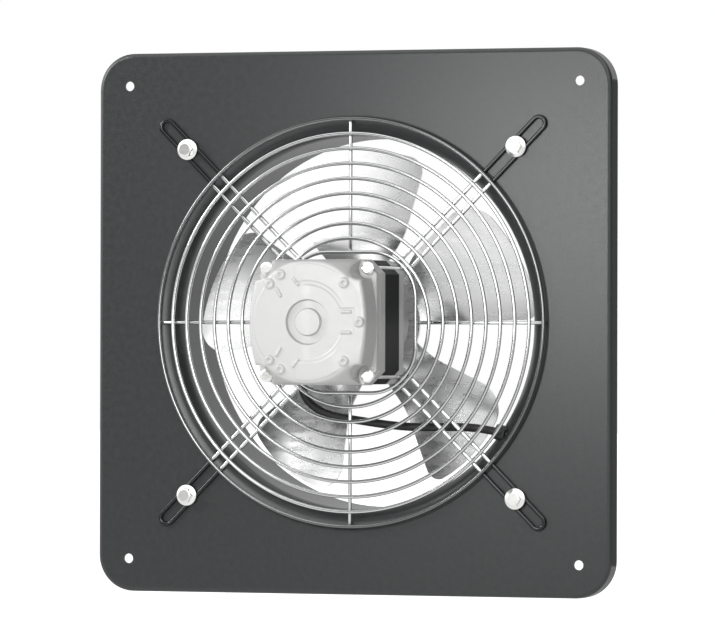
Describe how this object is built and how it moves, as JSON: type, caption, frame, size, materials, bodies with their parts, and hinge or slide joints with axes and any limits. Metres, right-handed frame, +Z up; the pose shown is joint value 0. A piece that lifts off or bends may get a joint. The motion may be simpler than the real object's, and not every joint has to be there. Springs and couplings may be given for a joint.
{
  "type": "exhaust fan",
  "caption": "Square plate-mounted axial exhaust fan: drawn nozzle, flat wire guard carrying a shaded-pole motor, bladed impeller and lead.",
  "frame": {"origin": "on the fan axis, in the front face of the mounting plate", "axes": "+Z up, +X to the right seen from the guard side, +Y along the fan axis into the wall, the way the air goes"},
  "size_m": [0.37, 0.16, 0.37],
  "materials": {
    "plate_paint": "semi-gloss powder coat",
    "guard_wire": "bright nickel-chrome plated wire",
    "zinc_plate": "bright zinc plate",
    "cover_casting": "pressure die-cast, as cast",
    "shield_casting": "pressure die-cast, as cast",
    "stack_lacquer": "black lacquered laminations",
    "bobbin_plastic": "moulded nylon",
    "copper": "enamelled copper wire",
    "rotor_steel": "turned steel",
    "blade_aluminium": "bright rolled sheet, streaky",
    "sintered_bronze": "sintered, oil filled",
    "felt": "oiled wool felt",
    "lead_jacket": "matt black jacket",
    "grommet_rubber": "matt black",
    "core_insulation": "PVC core insulation",
    "moulded_nylon": "moulded black nylon"
  },
  "bodies": {
    "frame": {"bearing_clips": "zinc_plate", "coil_bobbins": "bobbin_plastic", "coil_tie": "moulded_nylon", "front_bearing": "sintered_bronze", "front_end_shield": "shield_casting", "guard_arm_1": "guard_wire", "guard_arm_2": "guard_wire", "guard_arm_3": "guard_wire", "guard_arm_4": "guard_wire", "guard_bolts": "zinc_plate", "guard_motor_ring": "guard_wire", "guard_nuts": "zinc_plate", "guard_ring_1": "guard_wire", "guard_ring_2": "guard_wire", "guard_ring_3": "guard_wire", "guard_ring_4": "guard_wire", "guard_ring_5": "guard_wire", "guard_ring_6": "guard_wire", "guard_ring_7": "guard_wire", "guard_ring_8": "guard_wire", "guard_ring_9": "guard_wire", "guard_spoke_1": "guard_wire", "guard_spoke_2": "guard_wire", "guard_spoke_3": "guard_wire", "guard_spoke_4": "guard_wire", "guard_washers": "zinc_plate", "lead": "lead_jacket", "lead_coil": "lead_jacket", "lead_cores": "core_insulation", "lead_strain_relief": "moulded_nylon", "motor_bolts": "zinc_plate", "motor_nuts": "zinc_plate", "motor_washers": "zinc_plate", "mounting_plate": "plate_paint", "nozzle_grommet": "grommet_rubber", "oil_felts": "felt", "rear_bearing": "sintered_bronze", "rear_end_shield": "cover_casting", "shading_rings": "copper", "stator_stack": "stack_lacquer", "stator_windings": "copper"},
    "fan_rotor": {"impeller": "blade_aluminium", "impeller_hub": "blade_aluminium", "hub_rivets": "zinc_plate", "hub_nut": "zinc_plate", "hub_spacer": "zinc_plate", "motor_shaft": "rotor_steel", "rotor_core": "rotor_steel", "rotor_end_rings": "blade_aluminium", "thrust_washers": "rotor_steel"}
  },
  "joints": [
    {"name": "fan_spin", "type": "hinge", "parent": "frame", "child": "fan_rotor", "pos_m": [0, 0, 0], "axis": [0, -1, 0], "continuous": true}
  ]
}
